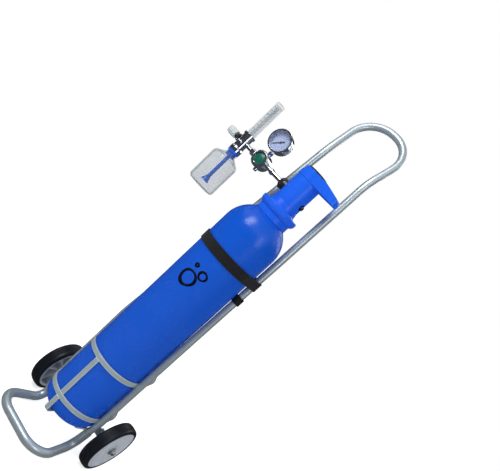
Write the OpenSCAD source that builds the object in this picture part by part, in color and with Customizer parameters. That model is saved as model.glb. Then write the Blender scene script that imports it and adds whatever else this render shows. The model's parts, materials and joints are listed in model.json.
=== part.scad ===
// Medical oxygen cylinder strapped on a two-wheel hand cart, with its valve guard,
// pressure regulator, flowmeter and humidifier bottle.
// Millimetres. +Z is up, -Y is the front of the cart, where the foot loop and the cage are.
// The dimensions below are measured from the cylinder's axis (X and Y) and from the floor (Z).

/* [Cylinder] */
// Outer diameter of the gas cylinder
cyl_d = 152; // [150:1:152]
// Height of the cylinder's bottom above the floor
cyl_bottom_z = 61; // [61:1:64]
// Height at which the straight wall meets the round shoulder
cyl_shoulder_z = 672; // [666:1:674]
// Wall thickness of the steel shell
cyl_wall = 5; // [4:0.5:7]

/* [Frame] */
// Diameter of the rail and handle tube
rail_d = 18; // [16:1:18]
// Wall thickness of the rail tube
rail_wall = 1.5; // [1.2:0.1:2]
// Distance of each rail from the centre plane beside the cylinder
rail_x = 86.5; // [86.5:0.5:88]
// Distance of the rails behind the cylinder's axis
rail_y = 11; // [10:1:12]
// Diameter of the foot loop tube
foot_d = 22; // [22:1:24]
// Reach of the foot loop in front of the cylinder's axis
foot_reach = 127; // [120:1:135]
// Height of the handle's top above the floor
handle_z = 1074; // [1060:1:1090]

/* [Wheels] */
// Diameter of the tyres
wheel_d = 150; // [140:1:152]
// Width of the tyres
wheel_w = 32; // [28:1:34]
// Distance from the centre plane to the middle of each wheel
wheel_x = 126; // [126:1:135]
// Distance of the axle behind the cylinder's axis
axle_y = 58; // [56:1:62]
// Diameter of the axle
axle_d = 10; // [8:1:12]

/* [Regulator] */
// Height of the valve's outlet and of the regulator's centre line
outlet_z = 808.5; // [806:0.5:811]
// Diameter of the pressure gauge
gauge_d = 58; // [50:1:60]
// Diameter of the humidifier bottle
bottle_d = 74; // [66:1:76]
// Length of the flow tube
flow_tube_h = 97; // [85:1:105]

/* [Hidden] */
$fn = 64;

// The row's origin is under the middle of the whole object's box, on the floor
plan_shift = [45.15, -2.0, 0];

cyl_r = cyl_d / 2;
rail_r = rail_d / 2;
weld_gap = 0.05;         // clearance left between a coped end and the tube it is welded to
bend_lap = 0.4;          // length by which a straight runs into the bend beside it
bend_step = 0.15;        // how much a bend's wall stands proud of a straight's, each way
axle_z = wheel_d / 2;

// Route of the right rail and handle, from its lower end to the top of the handle
foot_corner = [73.5, 20, foot_d / 2 + bend_step];
rail_knee = [rail_x, rail_y, 113];
riser = rail_knee - foot_corner;
rail_start = foot_corner + 0.46 * riser;
foot_end = foot_corner + 0.60 * riser;
rail_sweep = [rail_x, rail_y, 330];
handle_root = [rail_x - 21, rail_y + 65, 944];
handle_corner = [72, rail_y + 122, handle_z];
knee_r = 100;
sweep_r = 400;
root_r = 150;
handle_r = 66;

// Route of the foot loop
foot_front = [96, -foot_reach, foot_d / 2 + bend_step];
foot_heel_r = 30;
foot_front_r = 52;
socket_gap = 0.2;

// Flat bars of the front cage
bar_w = 12;
bar_t = 3;
cage_gap = 0.5;
cage_r = cyl_r + cage_gap;
lower_hoop_z = 113;
upper_hoop_z = 246;

// Tube hoops behind the cylinder
rear_hoop_low_z = 135;
rear_hoop_high_z = 271;

// Cradle under the cylinder
cradle_w = 25;
cradle_t = 4;
seat_z = cyl_bottom_z - 0.2;
cyl_heel_r = 35;

// Strap round the cylinder and both rails
strap_z = 608;
strap_w = 25;
strap_t = 2;
clip_z = 556;
clip_h = 20;

// Cylinder neck, valve and guard
neck_r = 27;
neck_top_z = 758;
stem_r = 4;
wheel_top_z = 878;
wheel_under_z = 864;
handwheel_r = 29;
guard_r = 32.5;
guard_wall = 3.2;
guard_top_z = 874;
guard_base_r = 43;
lug_under_z = 850;
lug_x = 68;
lug_r = 18;

// Regulator chain, all on one line to the left of the valve
reg_x = -120;
reg_r = 20;
reg_half_depth = 17;
gauge_z = outlet_z + 59.5;
gauge_half_depth = 13;
gauge_r = gauge_d / 2;
meter_x = -191;
meter_top_z = outlet_z + 22.5;
meter_bottom_z = outlet_z - 29.5;
knob_x = -231;
bottle_r = bottle_d / 2;
bottle_neck_z = outlet_z - 35.5;
bottle_shoulder_z = outlet_z - 61;
bottle_bottom_z = outlet_z - 143.5;
run_gap = 0.05;          // radial clearance of every turning fit

// ---------- helpers ----------

function unit(v) = v / norm(v);
function angle_between(u, v) = acos(unit(u) * unit(v));
function mirror_x(p) = [-p[0], p[1], p[2]];
function reversed(list) = [for (i = [len(list) - 1 : -1 : 0]) list[i]];
// Distance from a corner of a route to the start of its bend
function setback(a, b, c, r) = r / tan(angle_between(a - b, c - b) / 2);
// Point on the right rail's straight back stretch at height z
function rail_at(z) = rail_sweep + (handle_root - rail_sweep) * (z - rail_sweep[2])
    / (handle_root[2] - rail_sweep[2]);

module on_axis(from, to) {
    d = to - from;
    translate(from)
    rotate([0, acos(d[2] / norm(d)), atan2(d[1], d[0])])
    children();
}

module ring(outer, inner) {
    difference() {
        circle(r = outer);
        if (inner > 0) circle(r = inner);
    }
}

module straight_tube(from, to, outer, inner) {
    on_axis(from, to)
    linear_extrude(norm(to - from)) ring(outer, inner);
}

// One bend of a tube at corner b of the route a, b, c
module elbow(a, b, c, r, outer, inner) {
    u = unit(a - b);
    v = unit(c - b);
    half = angle_between(u, v) / 2;
    centre = b + unit(u + v) * r / sin(half);
    start = b + u * r / tan(half);
    x = unit(start - centre);
    y = -u;
    z = cross(x, y);
    multmatrix([
        [x[0], y[0], z[0], centre[0]],
        [x[1], y[1], z[1], centre[1]],
        [x[2], y[2], z[2], centre[2]],
        [0, 0, 0, 1]])
    rotate_extrude(angle = 180 - 2 * half)
    translate([r, 0])
    ring(outer, inner);
}

// A bent tube through the points of a route, with one bend radius for each inner point.
// Each straight length laps a little way into the bends beside it.
module bent_tube(route, radii, outer, inner) {
    last = len(route) - 1;
    backs = [for (i = [0 : last]) (i == 0 || i == last) ? 0
        : setback(route[i - 1], route[i], route[i + 1], radii[i - 1]) - bend_lap];
    for (i = [0 : last - 1]) {
        way = unit(route[i + 1] - route[i]);
        straight_tube(route[i] + way * backs[i], route[i + 1] - way * backs[i + 1],
            outer, inner);
    }
    for (i = [1 : last - 1])
        elbow(route[i - 1], route[i], route[i + 1], radii[i - 1],
            outer + bend_step, inner > 0 ? inner - bend_step : 0);
}

module hex_bar(across_flats, h) {
    cylinder(h = h, d = across_flats / cos(30), $fn = 6);
}

module hollow(outer, inner, h) {
    linear_extrude(h) ring(outer, inner);
}

// Turns a shape built along +Z so that it points along -X, starting at x
module pointing_left(x, z = outlet_z) {
    translate([x, 0, z]) rotate([0, -90, 0]) children();
}

// Turns a shape built along +Z so that it points to the front, starting at y
module pointing_front(x, y, z) {
    translate([x, y, z]) rotate([90, 0, 0]) children();
}

module both_sides() {
    children();
    mirror([1, 0, 0]) children();
}

// The space that the lower rails fill, with room for a weld
module rail_cutter() {
    both_sides()
    bent_tube([rail_start, rail_knee, rail_sweep], [knee_r], rail_r + weld_gap, 0);
}

// ---------- frame ----------

// One tube: up one side, round the handle and down the other side
module rail_and_handle_tube() {
    side = [rail_start, rail_knee, rail_sweep, handle_root, handle_corner];
    other = [for (p = reversed(side)) mirror_x(p)];
    radii = [knee_r, sweep_r, root_r, handle_r];
    color("silver")
    bent_tube(concat(side, other), concat(radii, reversed(radii)), rail_r, rail_r - rail_wall);
}

// The thicker floor loop, whose open ends take the rails
module foot_loop() {
    side = [foot_end, foot_corner, foot_front];
    other = [for (p = reversed(side)) mirror_x(p)];
    radii = [foot_heel_r, foot_front_r];
    color("silver")
    bent_tube(concat(side, other), concat(radii, reversed(radii)),
        foot_d / 2, rail_r + socket_gap);
}

// Half ring of tube behind the cylinder, from rail to rail
module rear_hoop(z) {
    color("silver")
    difference() {
        translate([0, rail_y, z])
        rotate_extrude(angle = 180)
        translate([rail_x, 0])
        ring(rail_r, rail_r - rail_wall);
        rail_cutter();
    }
}

module lower_rear_hoop() { rear_hoop(rear_hoop_low_z); }
module upper_rear_hoop() { rear_hoop(rear_hoop_high_z); }

// Flat bar bent round the front of the cylinder, with short ends that reach the rails
module front_hoop(z) {
    color("lightgray")
    difference() {
        translate([0, 0, z - bar_w / 2])
        union() {
            rotate_extrude(start = 180, angle = 180)
            translate([cage_r, 0]) square([bar_t, bar_w]);
            both_sides()
            translate([cage_r, 0, 0]) cube([bar_t, rail_y, bar_w]);
        }
        rail_cutter();
    }
}

module lower_front_hoop() { front_hoop(lower_hoop_z); }
module upper_front_hoop() { front_hoop(upper_hoop_z); }

// Flat bar between the two front hoops
module front_upright() {
    low = lower_hoop_z + bar_w / 2;
    high = upper_hoop_z - bar_w / 2;
    color("lightgray")
    translate([-bar_w / 2, -cage_r - bar_t, low])
    cube([bar_w, bar_t, high - low]);
}

// Flat bar from the lower hoop down, round and back under the cylinder
module bottom_hook() {
    inner_r = 10;
    outer_r = inner_r + bar_t;
    top = lower_hoop_z - bar_w / 2;
    front = cage_r + bar_t;
    bend_y = -front + outer_r;
    bend_z = seat_z - bar_t + outer_r;
    back_y = rail_y - cradle_w / 2;
    color("lightgray")
    translate([-bar_w / 2, 0, 0])
    union() {
        translate([0, -front, bend_z]) cube([bar_w, bar_t, top - bend_z]);
        translate([0, bend_y, seat_z - bar_t]) cube([bar_w, back_y - bend_y, bar_t]);
        translate([0, bend_y, bend_z])
        rotate([0, 90, 0])
        rotate_extrude(start = 270, angle = 90)
        translate([inner_r, 0]) square([bar_t, bar_w]);
    }
}

// Flat bar across, under the cylinder, with both ends turned up to the rails
module bottom_cradle() {
    flat_x = cyl_r - cyl_heel_r + 15;
    rise = 17;
    low = seat_z - cradle_t;
    thick = cradle_t * sqrt(2);
    color("lightgray")
    difference() {
        translate([0, rail_y + cradle_w / 2, 0])
        rotate([90, 0, 0])
        linear_extrude(cradle_w)
        polygon([
            [-flat_x - rise - 6, seat_z + rise + 6 - thick], [-flat_x, low],
            [flat_x, low], [flat_x + rise + 6, seat_z + rise + 6 - thick],
            [flat_x + rise, seat_z + rise], [flat_x, seat_z],
            [-flat_x, seat_z], [-flat_x - rise, seat_z + rise]]);
        both_sides()
        on_axis(foot_corner, rail_knee)
        translate([0, 0, 20]) cylinder(r = foot_d / 2 + weld_gap, h = 80);
    }
}

// ---------- axle and wheels ----------

// Arm from each rail back to the axle, with the axle's hole in its round end
module axle_arms() {
    arm_t = 6;
    arm_w = 18;
    arm_x = rail_x - 4;
    arm_top = [rail_y + 3, 94];
    eye = [axle_y, axle_z];
    slope = eye - arm_top;
    color("silver")
    difference() {
        both_sides()
        translate([arm_x, 0, 0])
        rotate([90, 0, 90])
        linear_extrude(arm_t)
        difference() {
            union() {
                translate(arm_top)
                rotate(atan2(slope[1], slope[0]))
                translate([0, -arm_w / 2]) square([norm(slope), arm_w]);
                translate(eye) circle(d = 24);
            }
            translate(eye) circle(r = axle_d / 2 + run_gap);
        }
        rail_cutter();
        both_sides()
        on_axis(foot_corner, foot_end)
        cylinder(r = foot_d / 2 + weld_gap, h = norm(foot_end - foot_corner));
    }
}

// One bolt through each arm, with its head on the inner side
module stub_axles() {
    head_x = rail_x - 4 - 6;
    end_x = wheel_x + wheel_w / 2 + 8;
    color("silver")
    both_sides()
    translate([head_x, axle_y, axle_z])
    rotate([0, 90, 0])
    union() {
        hex_bar(16, 5.8);
        cylinder(d = axle_d, h = end_x - head_x);
    }
}

// Cap nut on the outer end of each axle bolt
module axle_cap_nuts() {
    color("gainsboro")
    both_sides()
    translate([wheel_x + wheel_w / 2 + 2.2, axle_y, axle_z])
    rotate([0, 90, 0])
    difference() {
        union() {
            hex_bar(15, 5);
            translate([0, 0, 5]) cylinder(d1 = 15, d2 = 9, h = 4);
        }
        translate([0, 0, -1]) cylinder(r = axle_d / 2 + weld_gap, h = 6.8);
    }
}

// Washers inside and outside each wheel
module axle_washers() {
    color("gainsboro")
    both_sides()
    for (x = [wheel_x - wheel_w / 2 - 2, wheel_x + wheel_w / 2 + 0.5])
        translate([x, axle_y, axle_z])
        rotate([0, 90, 0])
        hollow(11, axle_d / 2 + run_gap, 1.5);
}

module at_wheel(side) {
    translate([side * wheel_x, axle_y, axle_z])
    rotate([0, side * 90, 0])
    children();
}

// Solid rubber tyre with a round crown; built about Z with its outer face at +Z
module tyre() {
    seat = wheel_d / 2 - 11;
    face = wheel_d / 2 - 9;
    half = wheel_w / 2;
    crown_drop = 2;
    shoulder = 7;
    color("dimgray")
    rotate_extrude()
    difference() {
        union() {
            translate([seat, -half]) square([face - seat, wheel_w]);
            translate([face - 1, -half + shoulder]) square([10 - crown_drop, wheel_w - 2 * shoulder]);
            for (s = [-1, 1])
                translate([face, s * (half - shoulder)]) circle(r = shoulder);
            translate([wheel_d / 2 - 60, 0])
            intersection() {
                circle(r = 60, $fn = 128);
                translate([50, -half + shoulder]) square([10, wheel_w - 2 * shoulder]);
            }
        }
        translate([seat - 10, -half - 1]) square([10, wheel_w + 2]);
        translate([seat, 0]) circle(r = 3);
    }
}

// Moulded hub: closed dished face outside, open ribbed side inside
module hub() {
    rim_r = wheel_d / 2 - 11 - 0.1;
    half = wheel_w / 2 - 1;
    web_t = 4;
    color("lightgray")
    difference() {
        union() {
            difference() {
                translate([0, 0, -half]) cylinder(r = rim_r, h = 2 * half);
                translate([0, 0, -half - 1]) cylinder(r = rim_r - 6, h = 2 * half - web_t - 2);
                translate([0, 0, half - 3]) cylinder(r1 = rim_r - 12, r2 = rim_r - 5, h = 3.1);
            }
            translate([0, 0, -half - 0.3]) cylinder(r = 15, h = 2 * half + 0.6);
            for (a = [0 : 45 : 315])
                rotate(a)
                translate([12, -1.5, -half + 3])
                cube([rim_r - 16, 3, 2 * half - web_t - 4]);
        }
        translate([0, 0, -half - 1]) cylinder(d = axle_d + 6, h = 2 * half + 2);
    }
}

// Flanged plain bushes pressed in from both ends of the hub
module bushes() {
    half = wheel_w / 2 - 0.6;
    color("beige")
    for (s = [0, 1])
        mirror([0, 0, s])
        translate([0, 0, 2])
        hollow(axle_d / 2 + 3, axle_d / 2 + run_gap, half - 2);
}

module right_tyre() { at_wheel(1) tyre(); }
module right_hub() { at_wheel(1) hub(); }
module right_bushes() { at_wheel(1) bushes(); }
module left_tyre() { at_wheel(-1) tyre(); }
module left_hub() { at_wheel(-1) hub(); }
module left_bushes() { at_wheel(-1) bushes(); }

// ---------- strap ----------

// The cylinder and both rails as the strap's two edges meet them
module strap_outline(grow) {
    hull() {
        circle(r = cyl_r + grow, $fn = 96);
        for (s = [-1, 1], z = [-1, 1]) {
            side = rail_at(strap_z + z * strap_w / 2);
            translate([s * side[0], side[1]]) circle(r = rail_r + grow, $fn = 32);
        }
    }
}

// Webbing round the cylinder and the outside of both rails
module strap() {
    color("black")
    translate([0, 0, strap_z - strap_w / 2])
    linear_extrude(strap_w)
    difference() {
        strap_outline(0.6 + strap_t);
        strap_outline(0.6);
    }
}

// Ladder buckle on the strap behind the cylinder
module strap_buckle() {
    color("black")
    translate([0, cyl_r + strap_t + 1.2, strap_z])
    rotate([-90, 0, 0])
    difference() {
        translate([-16, -17, 0]) cube([32, 34, 5]);
        for (x = [-12, -2.5, 7])
            translate([x, -13.5, -1]) cube([5, 27, 7]);
    }
}

// Rubber sleeve on each rail that stops the strap from sliding down, open to the cylinder
module strap_rail_clips() {
    low = rail_at(clip_z - clip_h / 2);
    high = rail_at(clip_z + clip_h / 2);
    color("black")
    difference() {
        both_sides()
        straight_tube(low, high, rail_r + 3, rail_r + weld_gap);
        translate([0, 0, clip_z - clip_h]) cylinder(r = cyl_r + 0.3, h = 2 * clip_h);
    }
}

// ---------- cylinder and valve ----------

module shell_half_profile(r, bottom, heel, top) {
    translate([0, bottom]) square([r - heel, top - bottom]);
    translate([0, bottom + heel]) square([r, top - bottom - heel]);
    translate([r - heel, bottom + heel])
    intersection() {
        circle(r = heel);
        translate([0, -heel]) square([heel, heel]);
    }
    translate([0, top])
    intersection() {
        circle(r = r, $fn = 128);
        square([r, r]);
    }
}

// Seamless steel bottle with a round shoulder and a short neck
module cylinder_shell() {
    color("royalblue")
    difference() {
        union() {
            rotate_extrude()
            shell_half_profile(cyl_r, cyl_bottom_z, cyl_heel_r, cyl_shoulder_z);
            translate([0, 0, neck_top_z - 20]) cylinder(r = neck_r, h = 20);
        }
        rotate_extrude()
        shell_half_profile(cyl_r - cyl_wall, cyl_bottom_z + 9, cyl_heel_r - cyl_wall,
            cyl_shoulder_z);
        translate([0, 0, neck_top_z - 40]) cylinder(r = 14, h = 60);
    }
}

// Brass valve: plug in the neck, round body, outlet to the left and port to the right
module valve_body() {
    color("goldenrod")
    difference() {
        union() {
            translate([0, 0, neck_top_z - 26]) cylinder(r = 14, h = 26);
            translate([0, 0, neck_top_z]) cylinder(r = 16, h = 82);
            pointing_left(0) cylinder(r = 11, h = 44);
        }
        translate([0, 0, neck_top_z - 27]) cylinder(r = 3, h = 60);
        translate([0, 0, outlet_z]) cylinder(r = 7, h = 60);
        pointing_left(6) cylinder(r = 3, h = 60);
        pointing_left(-36) cylinder(r = 5.5 + weld_gap, h = 9);
        translate([9, 0, outlet_z - 8]) rotate([0, 90, 0]) cylinder(r = 5, h = 10);
    }
}

module valve_gland_nut() {
    low = neck_top_z + 82;
    color("goldenrod")
    difference() {
        union() {
            translate([0, 0, low]) hex_bar(24, 10);
            translate([0, 0, low - 10]) cylinder(r = 7 - run_gap, h = 10);
        }
        translate([0, 0, low - 11]) cylinder(r = stem_r + run_gap, h = 25);
    }
}

// Spindle that the handwheel turns, down to the valve seat
module valve_spindle() {
    color("silver")
    union() {
        translate([0, 0, outlet_z + 4]) cylinder(r = 5.5, h = 14);
        translate([0, 0, outlet_z + 18]) cylinder(r = stem_r, h = wheel_top_z - 7 - outlet_z - 18);
    }
}

// Round knob with a scalloped grip
module valve_handwheel() {
    scallops = 10;
    color("black")
    difference() {
        union() {
            translate([0, 0, wheel_under_z]) cylinder(r = handwheel_r, h = 11);
            translate([0, 0, wheel_under_z + 11])
            cylinder(r1 = handwheel_r, r2 = handwheel_r - 3, h = wheel_top_z - wheel_under_z - 11);
            translate([0, 0, wheel_under_z - 10]) cylinder(r = 9, h = 11);
        }
        for (i = [0 : scallops - 1])
            rotate(i * 360 / scallops)
            translate([handwheel_r + 5.5, 0, wheel_under_z - 1]) cylinder(r = 8, h = 20);
        translate([0, 0, wheel_under_z - 11]) cylinder(r = stem_r + weld_gap, h = wheel_top_z);
        translate([0, 0, wheel_top_z - 7]) cylinder(r = 11, h = 10);
    }
}

module handwheel_screw() {
    color("silver")
    translate([0, 0, wheel_top_z - 7])
    difference() {
        cylinder(r1 = 6.5, r2 = 5.5, h = 4);
        translate([-7, -0.8, 2.6]) cube([14, 1.6, 2]);
    }
}

// Plug that holds the valve's burst disc, opposite the outlet
module burst_disc_plug() {
    color("darkslategray")
    translate([0, 0, outlet_z - 8])
    rotate([0, 90, 0])
    difference() {
        union() {
            translate([0, 0, 11]) cylinder(r = 5 - weld_gap, h = 10);
            translate([0, 0, 16.2]) hex_bar(13, 6);
            translate([0, 0, 21]) cylinder(r = 5, h = 15);
        }
        translate([0, 0, 30]) cylinder(r = 2, h = 10);
    }
}

// Height of the cylinder's round shoulder at a distance r from the axis
function dome_z(r) = cyl_shoulder_z + sqrt(cyl_r * cyl_r - r * r);

// Plastic guard: flared base, column with an outlet slot, and a cap with a carrying lug
module valve_guard() {
    clear = 0.5;
    base_in_r = guard_base_r - 4;
    inner_r = guard_r - guard_wall;
    cap_r = guard_r + 0.8;
    tip_x = lug_x + lug_r;
    color("blue")
    difference() {
        union() {
            rotate_extrude()
            difference() {
                polygon([
                    [inner_r, dome_z(base_in_r) + clear], [base_in_r, dome_z(base_in_r) + clear],
                    [guard_base_r, dome_z(guard_base_r) + clear], [guard_base_r, 750],
                    [47, 753], [50, 758], [50.5, 766], [48.5, 768], [44, 765.5], [39, 767],
                    [35, 772], [guard_r, 784], [guard_r, guard_top_z], [inner_r, guard_top_z]]);
                polygon([
                    [inner_r - 1, cyl_shoulder_z], [base_in_r, cyl_shoulder_z],
                    [base_in_r, 752], [inner_r + 2, 762], [inner_r, 776],
                    [inner_r - 1, 776]]);
            }
            translate([0, 0, lug_under_z])
            linear_extrude(guard_top_z - lug_under_z)
            difference() {
                union() {
                    circle(r = cap_r);
                    polygon([[0, -cap_r], [lug_x, -lug_r], [lug_x, lug_r], [0, cap_r]]);
                    translate([lug_x, 0]) circle(r = lug_r);
                }
                circle(r = inner_r);
            }
        }
        // Slot for the valve's outlet
        translate([-60, -14, outlet_z - 22]) cube([60, 28, 46]);
        // Low part of the rim that bares the handwheel for the fingers
        translate([-60, -24, guard_top_z - 10]) cube([45, 48, 20]);
        // Hole for the burst disc plug
        translate([0, 0, outlet_z - 8]) rotate([0, 90, 0]) cylinder(r = 8, h = 60);
        // Hollow under the lug's top
        translate([40, -11, lug_under_z - 1]) cube([26, 22, guard_top_z - lug_under_z - 7]);
        // The lug gets thinner towards its tip
        translate([0, 60, 0])
        rotate([90, 0, 0])
        linear_extrude(120)
        polygon([
            [42, guard_top_z], [tip_x - 8, guard_top_z - 7], [tip_x + 1, guard_top_z - 14],
            [tip_x + 1, guard_top_z + 5], [42, guard_top_z + 5]]);
    }
}

// ---------- regulator ----------

// Union nut over the valve's outlet, with a smooth skirt and a hexagon
module inlet_nut() {
    color("darkslategray")
    pointing_left(-30)
    difference() {
        union() {
            cylinder(r = 13, h = 10);
            translate([0, 0, 9]) hex_bar(24, 9);
            translate([0, 0, 18]) cylinder(d1 = 22, d2 = 17, h = 3);
        }
        translate([0, 0, -1]) cylinder(r = 11 + run_gap, h = 16.4);
        translate([0, 0, 1]) cylinder(r = 5 + run_gap, h = 24);
    }
}

// Chrome tube from the valve's seat to the regulator
module inlet_stem() {
    end = -reg_x - reg_r + 1;
    color("silver")
    difference() {
        union() {
            pointing_left(-36.2) cylinder(r = 5, h = end - 36.2);
            pointing_left(-44.2) cylinder(r = 9, h = 1);
            pointing_left(-80) cylinder(r = 7, h = 6);
        }
        pointing_left(-30) cylinder(r = 2, h = 60);
        pointing_front(reg_x, reg_half_depth, outlet_z) cylinder(r = reg_r + weld_gap, h = 2 * reg_half_depth);
    }
}

// Round body that faces the front, with ports left, right, above and below
module regulator_body() {
    color("silver")
    difference() {
        union() {
            pointing_front(reg_x, reg_half_depth - 3, outlet_z)
            cylinder(r = reg_r, h = 2 * reg_half_depth - 6);
            pointing_front(reg_x, reg_half_depth, outlet_z)
            cylinder(r1 = reg_r - 3, r2 = reg_r, h = 3);
        }
        pointing_front(reg_x, 0, outlet_z) cylinder(r = 15, h = 20);
        pointing_left(reg_x + 30) cylinder(r = 2, h = 60);
        translate([reg_x, 6, outlet_z]) cylinder(r = 2, h = 30);
    }
}

module regulator_bezel() {
    color("silver")
    pointing_front(reg_x, -(reg_half_depth - 3), outlet_z)
    difference() {
        union() {
            cylinder(r = reg_r + 1, h = 4);
            translate([0, 0, 4]) cylinder(r1 = reg_r + 1, r2 = reg_r - 2, h = 2.5);
        }
        translate([0, 0, -1]) cylinder(r = 15, h = 4);
        translate([0, 0, 2.9]) cylinder(r = 14.2, h = 6);
    }
}

// Green domed cover in the middle of the regulator's face
module regulator_cover() {
    color("seagreen")
    pointing_front(reg_x, -(reg_half_depth - 3) - 3, outlet_z)
    rotate_extrude()
    intersection() {
        translate([0, -36.5]) circle(r = 40, $fn = 128);
        square([14, 5]);
    }
}

// Rubber and steel disc that senses the outlet pressure
module diaphragm() {
    color("dimgray")
    pointing_front(reg_x, -2, outlet_z)
    union() {
        cylinder(r = 14.9, h = 1.5);
        translate([0, 0, 1.5]) cylinder(r = 8, h = 2);
        translate([0, 0, -1.9]) cylinder(r = 2, h = 2);
    }
}

module relief_valve() {
    color("silver")
    difference() {
        union() {
            translate([reg_x + 2, 0, outlet_z - reg_r - 4]) cylinder(r = 5, h = 6);
            translate([reg_x + 2, 0, outlet_z - reg_r - 7]) hex_bar(9, 3);
        }
        pointing_front(reg_x, reg_half_depth, outlet_z) cylinder(r = reg_r + weld_gap, h = 2 * reg_half_depth);
    }
}

// ---------- gauge ----------

module gauge_stem() {
    color("silver")
    difference() {
        union() {
            translate([reg_x, 3, outlet_z + reg_r - 2]) cylinder(r = 5, h = 16);
            translate([reg_x, 3, outlet_z + reg_r + 3]) hex_bar(12, 5);
        }
        pointing_front(reg_x, reg_half_depth, outlet_z) cylinder(r = reg_r + weld_gap, h = 2 * reg_half_depth);
        pointing_front(reg_x, gauge_half_depth + 2, gauge_z) cylinder(r = gauge_r + weld_gap, h = 40);
        translate([reg_x, 3, outlet_z]) cylinder(r = 2, h = 60);
    }
}

// Chrome cup with a rolled rim
module gauge_case() {
    color("silver")
    pointing_front(reg_x, gauge_half_depth, gauge_z)
    difference() {
        union() {
            cylinder(r = gauge_r - 2, h = 2 * gauge_half_depth);
            translate([0, 0, 2 * gauge_half_depth - 5]) cylinder(r = gauge_r, h = 5);
        }
        translate([0, 0, 2]) cylinder(r = gauge_r - 3.5, h = 60);
    }
}

module gauge_dial() {
    color("lightsteelblue")
    pointing_front(reg_x, gauge_half_depth - 14, gauge_z)
    difference() {
        cylinder(r = gauge_r - 3.6, h = 1);
        translate([0, 0, -1]) cylinder(r = 2, h = 3);
    }
}

module gauge_lens() {
    color("aliceblue", 0.35)
    pointing_front(reg_x, gauge_half_depth - 2 * gauge_half_depth + 3, gauge_z)
    cylinder(r = gauge_r - 3.6, h = 2);
}

// Curved pressure tube behind the dial
module bourdon_tube() {
    color("goldenrod")
    pointing_front(reg_x, gauge_half_depth - 5, gauge_z)
    union() {
        rotate_extrude(start = -90, angle = 250)
        translate([16, 0]) square([2.5, 6]);
        translate([-3, -gauge_r + 4, 0]) cube([6, gauge_r - 18, 6]);
    }
}

// Needle and its arbour; at rest it points at the zero mark, low on the left
module gauge_pointer() {
    zero_angle = 225;
    color("black")
    pointing_front(reg_x, gauge_half_depth - 13, gauge_z)
    union() {
        translate([0, 0, -2]) cylinder(r = 1.5, h = 7);
        translate([0, 0, 2.4])
        rotate(zero_angle)
        linear_extrude(0.8)
        polygon([[-9, -1.6], [-9, 1.6], [0, 1.2], [20, 0.5], [20, -0.5], [0, -1.2]]);
    }
}

// ---------- flowmeter and humidifier ----------

module outlet_nipple() {
    start = reg_x - reg_r + 2;
    reach = start - meter_x - 13;
    color("silver")
    difference() {
        union() {
            pointing_left(start) cylinder(r = 5, h = reach);
            pointing_left(start - 8) hex_bar(15, 12);
        }
        pointing_left(start + 1) cylinder(r = 2, h = 60);
        pointing_front(reg_x, reg_half_depth, outlet_z) cylinder(r = reg_r + weld_gap, h = 2 * reg_half_depth);
        translate([meter_x, 0, outlet_z - 20]) cylinder(r = 14 + weld_gap, h = 40);
    }
}

// Chrome block that carries the flow tube above and the bottle below
module flowmeter_body() {
    color("silver")
    translate([meter_x, 0, 0])
    difference() {
        union() {
            translate([0, 0, meter_bottom_z]) cylinder(r = 16, h = 8);
            translate([0, 0, meter_bottom_z + 8]) cylinder(r1 = 16, r2 = 14, h = 4);
            translate([0, 0, meter_bottom_z + 10]) cylinder(r = 14, h = 36);
            translate([0, 0, meter_top_z - 6]) cylinder(r = 16, h = 6);
        }
        translate([0, 0, meter_bottom_z - 1]) cylinder(r = 12.5, h = 9);
        translate([0, 0, meter_bottom_z]) cylinder(r = 2.5, h = 40);
        translate([0, 0, meter_top_z - 4]) cylinder(r = 11.5 + weld_gap, h = 10);
        translate([0, 0, meter_top_z - 12]) cylinder(r = 4.5 + weld_gap, h = 10);
        translate([0, 0, outlet_z]) rotate([0, -90, 0]) cylinder(r = 3 + run_gap, h = 20);
        pointing_front(0, -8, outlet_z - 6) cylinder(r = 3 + weld_gap, h = 10);
    }
}

module flow_tube() {
    color("aliceblue", 0.35)
    translate([meter_x, 0, meter_top_z - 4])
    difference() {
        union() {
            cylinder(r = 11.5, h = flow_tube_h + 1);
            translate([0, 0, flow_tube_h + 1]) cylinder(r1 = 11.5, r2 = 9.5, h = 3);
        }
        translate([0, 0, -1]) cylinder(r = 9, h = flow_tube_h - 2);
    }
}

// Inner glass tube whose bore widens upwards round the float
module metering_tube() {
    color("aliceblue", 0.35)
    translate([meter_x, 0, meter_top_z - 12])
    difference() {
        cylinder(r = 4.5, h = flow_tube_h + 2);
        translate([0, 0, -1]) cylinder(r1 = 2.6, r2 = 3.4, h = flow_tube_h + 4);
    }
}

module float_ball() {
    color("silver")
    translate([meter_x, 0, meter_top_z - 2]) sphere(r = 2.4);
}

module knob_packing_nut() {
    color("dimgray")
    pointing_left(meter_x - 14.2)
    difference() {
        union() {
            hex_bar(17, 7);
            translate([0, 0, 7]) cylinder(r = 7, h = 4.5);
        }
        translate([0, 0, -1]) cylinder(r = 3 + run_gap, h = 20);
    }
}

// Fluted plastic knob that opens the needle valve
module flow_knob() {
    flutes = 12;
    start = knob_x + 13;
    color("honeydew")
    pointing_left(start)
    difference() {
        union() {
            cylinder(r1 = 9.2, r2 = 10.4, h = 3);
            translate([0, 0, 3]) cylinder(r = 10.4, h = 19);
            translate([0, 0, 22]) cylinder(r1 = 10.4, r2 = 8.5, h = 3.5);
        }
        for (i = [0 : flutes - 1])
            rotate(i * 360 / flutes)
            translate([11.8, 0, -1]) cylinder(r = 2.2, h = 40);
        translate([0, 0, -1]) cylinder(r = 3, h = 19);
    }
}

module needle_stem() {
    color("silver")
    pointing_left(meter_x - 2)
    union() {
        translate([0, 0, 4]) cylinder(r = 3, h = 38);
        cylinder(r1 = 0.8, r2 = 3, h = 4);
    }
}

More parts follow.
